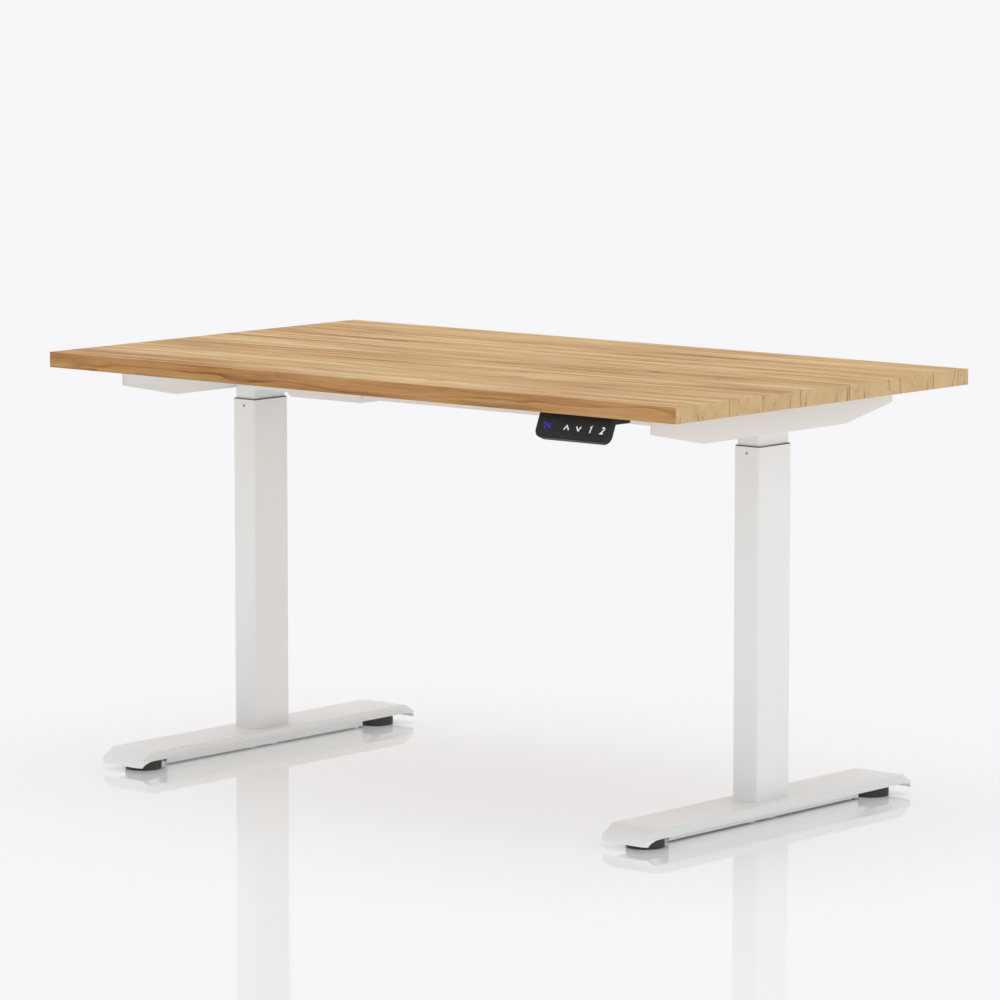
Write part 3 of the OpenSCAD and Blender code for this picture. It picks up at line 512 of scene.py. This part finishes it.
copies = add(PLACE, "GeometryNodeInstanceOnPoints", {"Points": given["Geometry"],
    "Instance": source.outputs["Geometry"], "Rotation": whole.outputs[0], "Scale": given["Size"]})
real = add(PLACE, "GeometryNodeRealizeInstances", {"Geometry": copies.outputs[0]})
done = add(PLACE, "GeometryNodeSetMaterial", {"Geometry": real.outputs[0], "Material": given["Finish"]})
PLACE.links.new(done.outputs[0], out["Geometry"])
SOCKET = {item.name: item.identifier for item in PLACE.interface.items_tree
    if item.in_out == "INPUT"}


def place_on_points(name, points, piece, finish, turn=0.0):
    """Copies of a piece at (place, facing) points, made real and joined in one plain mesh."""
    mesh = bpy.data.meshes.new(name)
    mesh.from_pydata([place for place, _ in points], [], [])
    facing = mesh.attributes.new("facing", "FLOAT_VECTOR", "POINT")
    facing.data.foreach_set("vector", [value for _, euler in points for value in euler])
    holder = bpy.data.objects.new(name, mesh)
    bpy.context.scene.collection.objects.link(holder)
    maker = holder.modifiers.new("place", "NODES")
    maker.node_group = PLACE
    maker[SOCKET["Piece"]] = piece
    maker[SOCKET["Turn"]] = turn
    maker[SOCKET["Finish"]] = FINISH[finish]
    finished(holder)
    bpy.data.objects.remove(piece)
    return holder


print("tree", PLACE.name, "inputs", list(SOCKET))

# %% Screws


def loose_solids(name):
    """The box of each loose solid in an engineered part, found on a merged copy of its mesh."""
    bm = bmesh.new()
    bm.from_mesh(NODES[name].data)
    bmesh.ops.remove_doubles(bm, verts=bm.verts, dist=0.01 * MM)
    left, boxes = set(bm.verts), []
    while left:
        group, edge = set(), [left.pop()]
        while edge:
            vert = edge.pop()
            group.add(vert)
            near = {other for link in vert.link_edges for other in link.verts} & left
            left -= near
            edge.extend(near)
        places = [vert.co.copy() for vert in group]
        boxes.append([Vector([pick(p[i] for p in places) for i in range(3)]) for pick in (min, max)])
    bm.free()
    return sorted(boxes, key=lambda box: tuple(round(v, 5) for v in box[0]))  # always the same order


def lathe(name, profile, finish, sides=24, hexagons=()):
    """Turns (radius, height) rings about Z; rings listed in hexagons follow a hexagon instead."""
    bm = bmesh.new()
    rings = []
    for i, (radius, height) in enumerate(profile):
        ring = []
        for k in range(sides):
            angle = 2 * math.pi * k / sides
            off_flat = (angle + math.pi / 6) % (math.pi / 3) - math.pi / 6
            out = radius * (math.cos(math.pi / 6) / math.cos(off_flat) if i in hexagons else 1)
            ring.append(bm.verts.new((out * math.cos(angle), out * math.sin(angle), height)))
        rings.append(ring)
    for one, two in zip(rings, rings[1:]):
        for k in range(sides):
            bm.faces.new((one[k], one[(k + 1) % sides], two[(k + 1) % sides], two[k]))
    bm.faces.new(rings[0][::-1])
    bm.faces.new(rings[-1])
    bmesh.ops.recalc_face_normals(bm, faces=bm.faces)
    return mesh_object(name, bm, finish)


screw_boxes = loose_solids("desk_screws")
socket_r, head_r, shank_r, tip_r = 1.9 * MM, 5.0 * MM, 2.1 * MM, 0.3 * MM
head_h, tip_l = 2.6 * MM, 4 * MM
reach = max(box[1].z - box[0].z for box in screw_boxes)
socket = [(socket_r, 1.5 * MM), (socket_r, 0.05 * MM)]
head = [(3.6 * MM, 0.0), (4.6 * MM, 0.7 * MM), (head_r, 1.6 * MM), (head_r, head_h)]
shank = [(shank_r, head_h), (shank_r, reach - tip_l), (tip_r, reach)]
screw = lathe("screw", socket + head + shank, "zinc", hexagons=(0, 1))
seats = [(Vector(((a.x + b.x) / 2, (a.y + b.y) / 2, a.z)), (0, 0, 0)) for a, b in screw_boxes]
screws = place_on_points("wood_screws", seats, screw, "zinc", turn=math.pi / 3)
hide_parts("desk_screws")
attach(screws, "top")
print("wood screws:", len(seats))

# %% [markdown]
# ## Glide grips
# A levelling glide is turned by hand, so its rim has shallow finger ribs. The same tree places a
# small rounded rib at every step round each rim, and each ring of ribs rides with its own glide.

# %% Ribs round the glides


def rounded_bar(name, size, finish, ease_mm):
    """A box with eased edges, about the origin."""
    bm = bmesh.new()
    bmesh.ops.create_cube(bm, matrix=Matrix.Diagonal((*size, 1)))
    bmesh.ops.bevel(bm, geom=bm.edges[:], offset=ease_mm * MM, segments=1, affect="EDGES")
    return mesh_object(name, bm, finish)


RIBS = 40
rib_size = (0.9 * MM, 1.6 * MM, 10 * MM)
rib_middle = 7 * MM
for glide in [name for name in NODES if name.startswith("glide_")]:
    low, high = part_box(glide)
    radius = (high.x - low.x) / 2
    middle = Vector(((low.x + high.x) / 2, (low.y + high.y) / 2, low.z + rib_middle))
    rib = rounded_bar("rib", rib_size, "glide_plastic", 0.35)
    points = []
    for k in range(RIBS):
        angle = 2 * math.pi * k / RIBS
        points.append((middle + radius * Vector((math.cos(angle), math.sin(angle), 0)), (0, 0, angle)))
    grip = place_on_points("grip_" + glide, points, rib, "glide_plastic")
    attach(grip, glide)
print("ribs a glide:", RIBS)

# %% [markdown]
# ## Handset markings
# The keys carry printed marks: two arrows and two memory numbers. A text object could give the
# numbers, but the real ones are drawn with one even stroke, so all four are bands of thin raised ink
# in the plane of the face. That plane comes from the keys' own travel, which is square to it, so the
# marks always lie on the keys and move with them.

# %% The handset's face plane
into = Vector(next(j["axis"] for j in frame["joints"] if j["child"] == "key_up")).normalized()
right = Vector((1, 0, 0))
up = right.cross(into)
INK_THICK = 0.05 * MM
SHARPEST = 0.4  # a mitre grows no longer than a stroke's width divided by this


def front_centre(name):
    """The middle of a part's face that looks out of the handset, and its width and height."""
    places = [v.co for v in NODES[name].data.vertices]
    outer = min(p.dot(into) for p in places)
    face = [p for p in places if p.dot(into) < outer + 0.05 * MM]
    xs = [p.dot(right) for p in face]
    ups = [p.dot(up) for p in face]
    middle = right * (min(xs) + max(xs)) / 2 + up * (min(ups) + max(ups)) / 2 + into * outer
    return middle, max(xs) - min(xs), max(ups) - min(ups)


def on_face(middle, x, y, proud=0.0):
    """A place on the handset's face, from the middle of one of its parts."""
    return middle + right * x + up * y - into * proud


def ink(name, middle, stroke, width, finish, slant=0.0):
    """A stroke through (x, y) points, as one thin raised band with mitred turns."""
    line = [Vector((x + slant * y, y)) for x, y in stroke]
    runs = [(after - before).normalized() for before, after in zip(line, line[1:])]
    sides = []
    for point, coming, going in zip(line, runs[:1] + runs, runs + runs[-1:]):
        along = (coming + going).normalized()
        square = Vector((-along.y, along.x))
        half = width / 2 / max(square.dot(Vector((-coming.y, coming.x))), SHARPEST)
        sides.append([point + square * half, point - square * half])
    bm = bmesh.new()
    base, top = [[[bm.verts.new(on_face(middle, *side, proud)) for side in pair] for pair in sides]
        for proud in (0.0, INK_THICK)]
    for i in range(len(line) - 1):
        j = i + 1
        bm.faces.new((top[i][0], top[j][0], top[j][1], top[i][1]))
        bm.faces.new((base[i][1], base[j][1], base[j][0], base[i][0]))
        bm.faces.new((base[i][0], base[j][0], top[j][0], top[i][0]))
        bm.faces.new((top[i][1], top[j][1], base[j][1], base[i][1]))
    for i, turn in ((0, 1), (-1, -1)):
        end = [base[i][0], top[i][0], top[i][1], base[i][1]]
        bm.faces.new(end[::turn])
    bmesh.ops.recalc_face_normals(bm, faces=bm.faces)
    return mesh_object(name, bm, finish)


print("face leans back", round(math.degrees(math.asin(-into.z)), 1), "degrees")

# %% [markdown]
# White marking ink is flat and bright. The display's bars are lit, so their material glows by a
# little more than the room lights a white surface.

# %% Ink and lit bars
FINISH["ink"] = coated("white_marking_ink", (0.86, 0.86, 0.86), 0.5, 0.3, 0.004, 0.05, 0.05)


def lit_bars():
    """Blue light from behind a frosted bar, which spreads it a little unevenly."""
    material = coated("blue_lit_bar", (0.02, 0.02, 0.25), 0.4, 0.5, 0.002, 0.05, 0.05)
    tree = material.node_tree
    shader = tree.nodes["Principled BSDF"]
    place = add(tree, "ShaderNodeTexCoord").outputs["Object"]
    flicker = spread(tree, noise(tree, place, 900.0), 0.3, 0.7, 0.75, 1.0)
    glow = blend_colours(tree, 1.0, (0.012, 0.012, 0.44, 1), flicker, "MULTIPLY")
    tree.links.new(glow, shader.inputs["Emission Color"])
    shader.inputs["Emission Strength"].default_value = 1.0
    return material


FINISH["lit"] = lit_bars()
print("ink and lit bars")

# %% Key marks
stroke_w = 2.4
bowl_r = 2.6
bowl = [math.radians(160 - 22 * k) for k in range(9)]
two = [(bowl_r * math.cos(a), 2.9 + bowl_r * math.sin(a)) for a in bowl] + [(-2.6, -4.7), (2.9, -4.7)]
marks = {  # the stroke of each mark in millimetres, and how far it leans for each one it rises
    "key_up": ([(-5, -3.5), (0, 3.5), (5, -3.5)], 0.0),
    "key_down": ([(-5, 3.5), (0, -3.5), (5, 3.5)], 0.0),
    "key_one": ([(-1.9, 3.2), (0.3, 5.2), (0.3, -5.4)], 0.18),
    "key_two": (two, 0.18),
}
for key, (stroke, slant) in marks.items():
    middle = front_centre(key)[0]
    stroke = [(x * MM, y * MM) for x, y in stroke]
    mark = ink("mark_" + key, middle, stroke, stroke_w * MM, "ink", slant)
    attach(mark, key)
print("marks:", ", ".join(marks))

# %% [markdown]
# ## Display digits
# A seven segment display shows the desk's height in whole centimetres. Each bar is the same small
# tapered piece, so Geometry Nodes place one copy for every lit segment. A lookup of the segments of
# each digit is the usual way. Each segment has its place in steps of a digit's width and of half its
# height, and says whether it stands up. The number is worked out from the desktop's height.

# %% Lit segments
SEGMENTS = {"a": (0, 1, 0), "b": (0.5, 0.5, 1), "c": (0.5, -0.5, 1), "d": (0, -1, 0),
    "e": (-0.5, -0.5, 1), "f": (-0.5, 0.5, 1), "g": (0, 0, 0)}
LIT = {"0": "abcdef", "1": "bc", "2": "abged", "3": "abgcd", "4": "fgbc", "5": "afgcd",
    "6": "afgedc", "7": "abc", "8": "abcdefg", "9": "abcfgd"}
middle, _, window_h = front_centre("handset_window")
digit_h = window_h * 0.80
digit_w = digit_h * 0.50
digit_step = digit_w * 1.7
shown = str(round(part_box("desktop")[1].z * 100))
half_l, half_w = digit_h * 0.22, digit_h * 0.085
bm = bmesh.new()
outline = [(-half_l, 0), (-half_l + half_w, half_w), (half_l - half_w, half_w), (half_l, 0),
    (half_l - half_w, -half_w), (-half_l + half_w, -half_w)]
flat = [bm.verts.new((x, y, 0)) for x, y in outline]
raised = bmesh.ops.extrude_face_region(bm, geom=[bm.faces.new(flat)])
lifted = [item for item in raised["geom"] if isinstance(item, bmesh.types.BMVert)]
bmesh.ops.translate(bm, verts=lifted, vec=(0, 0, INK_THICK))
bmesh.ops.recalc_face_normals(bm, faces=bm.faces)
bar = mesh_object("bar", bm, "lit")
face_turn = Matrix((right, up, -into)).transposed()
points = []
for i, digit in enumerate(shown):
    digit_x = (i - (len(shown) - 1) / 2) * digit_step
    for segment in LIT[digit]:
        x, y, standing = SEGMENTS[segment]
        place = on_face(middle, digit_x + x * digit_w, y * digit_h / 2)
        turn = face_turn @ Matrix.Rotation(math.pi / 2 * standing, 3, "Z")
        points.append((place, tuple(turn.to_euler("XYZ"))))
digits = place_on_points("height_digits", points, bar, "lit")
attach(digits, "top")
print("display shows", shown, "with", len(points), "bars")

# %% [markdown]
# ## Floor, light and camera
# The desk stands on a pale glossy floor that runs out into an even white room. The floor's shader
# fades by distance from the desk into the same white as the world, so no edge shows from any side,
# and it is clear from below, so that the underside of the desk can be looked at. Where something
# stands within a few millimetres of it, its colour and its glow are painted darker: a painted contact
# shadow. Part of its brightness is a glow, less where it already mirrors the room, which keeps soft
# shadows faint, as on a floor that is lit from everywhere. Light that bounces off it to the desk is a little
# brighter.
#
# Soft light comes from all round, with a large panel to the right, which leaves the faces that
# look at the user a little darker than the ends.

# %% Floor
ROOM = (0.930, 0.921, 0.947, 1)
FLOOR_R = 60.0
NEAR, FAR = 1.6, 5.5  # the floor fades into the room between these distances
POLISH = 1.55  # the index of refraction of the floor's varnish


def grey(value):
    """A grey with full alpha."""
    return (value, value, value, 1)


def floor_material():
    """Pale polished floor near the desk, plain room white far away, and clear from below."""
    material, tree, shader = new_material("pale_polished_floor")
    place = add(tree, "ShaderNodeTexCoord").outputs["Object"]
    haze = noise(tree, place, 1.3, 2.0, 0.4)
    # painted contact shadow: the floor's colour and glow are darkened within 9 mm of anything standing on it
    contact = add(tree, "ShaderNodeAmbientOcclusion", {"Distance": 9 * MM}, samples=8).outputs["AO"]
    pale = blend_colours(tree, haze, grey(0.61), grey(0.63))
    tree.links.new(blend_colours(tree, 1.0, pale, contact, "MULTIPLY"), shader.inputs["Base Color"])
    tree.links.new(spread(tree, haze, 0.3, 0.7, 0.025, 0.04), shader.inputs["Roughness"])
    shader.inputs["IOR"].default_value = POLISH
    bounce = add(tree, "ShaderNodeLightPath").outputs["Is Diffuse Ray"]
    glow = blend_colours(tree, bounce, grey(0.262), grey(0.69))
    mirrored = add(tree, "ShaderNodeFresnel", {"IOR": POLISH}).outputs[0]
    shown = calc(tree, "MULTIPLY", contact, calc(tree, "SUBTRACT", 1.0, mirrored))
    glow = blend_colours(tree, 1.0, glow, shown, "MULTIPLY")
    tree.links.new(glow, shader.inputs["Emission Color"])
    shader.inputs["Emission Strength"].default_value = 1.0
    far = add(tree, "ShaderNodeVectorMath", {0: place}, operation="LENGTH").outputs["Value"]
    white = add(tree, "ShaderNodeEmission", {"Color": ROOM}).outputs[0]
    fade = add(tree, "ShaderNodeMapRange", {0: far, 1: NEAR, 2: FAR},
        interpolation_type="SMOOTHSTEP").outputs[0]
    both = add(tree, "ShaderNodeMixShader", {0: fade, 1: shader.outputs[0], 2: white}).outputs[0]
    below = add(tree, "ShaderNodeNewGeometry").outputs["Backfacing"]
    clear = add(tree, "ShaderNodeBsdfTransparent").outputs[0]
    sided = add(tree, "ShaderNodeMixShader", {0: below, 1: both, 2: clear})
    tree.links.new(sided.outputs[0], tree.nodes["Material Output"].inputs["Surface"])
    return material


FINISH["floor"] = floor_material()
bm = bmesh.new()
bmesh.ops.create_circle(bm, cap_ends=True, segments=96, radius=FLOOR_R)
floor = mesh_object("floor", bm, "floor")
print("floor radius", FLOOR_R, "m")

# %% Room light
world = bpy.data.worlds.new("room")
bpy.context.scene.world = world
world.use_nodes = True
tree = world.node_tree
tree.nodes.clear()
seen = add(tree, "ShaderNodeLightPath").outputs
ambient = add(tree, "ShaderNodeBackground", {"Color": (0.98, 0.98, 1.0, 1), "Strength": 0.95})
backdrop = add(tree, "ShaderNodeBackground", {"Color": ROOM, "Strength": 1.0})
direct = calc(tree, "MAXIMUM", seen["Is Camera Ray"], seen["Is Glossy Ray"])
mixed = add(tree, "ShaderNodeMixShader", {0: direct, 1: ambient.outputs[0], 2: backdrop.outputs[0]})
add(tree, "ShaderNodeOutputWorld", {"Surface": mixed.outputs[0]})


def look_at(thing, target):
    """Turns a light or a camera towards a point."""
    thing.rotation_mode = "QUATERNION"
    thing.rotation_quaternion = (Vector(target) - thing.location).to_track_quat("-Z", "Y")


def panel(name, place, target, size, watts):
    """A soft square light that looks at a point and doesn't show in the floor."""
    light = bpy.data.lights.new(name, "AREA")
    light.shape = "SQUARE"
    light.size = size
    light.energy = watts
    lamp = bpy.data.objects.new(name, light)
    bpy.context.scene.collection.objects.link(lamp)
    lamp.visible_glossy = False
    lamp.location = place
    look_at(lamp, target)


panel("side_panel", (5.2, -1.2, 2.4), (0, 0, 0.4), size=3.2, watts=8)
panel("top_panel", (-0.5, 0.5, 4.6), (0, 0, 0.5), size=3.5, watts=45)

# %% [markdown]
# The camera stands far off with a long lens, as for a catalogue picture, so the desk's edges stay
# nearly parallel.

# %% Camera
camera = bpy.data.objects.new("camera", bpy.data.cameras.new("camera"))
bpy.context.scene.collection.objects.link(camera)
camera.location = (5.9891, -7.0781, 1.6653)
look_at(camera, (0.0, -0.005, 0.494))
camera.data.lens = 194.23
camera.data.sensor_width = 36
camera.data.clip_end = 200
bpy.context.scene.camera = camera
bpy.context.scene.view_settings.view_transform = "Standard"
print("camera", [round(v, 3) for v in camera.location], "lens", camera.data.lens)
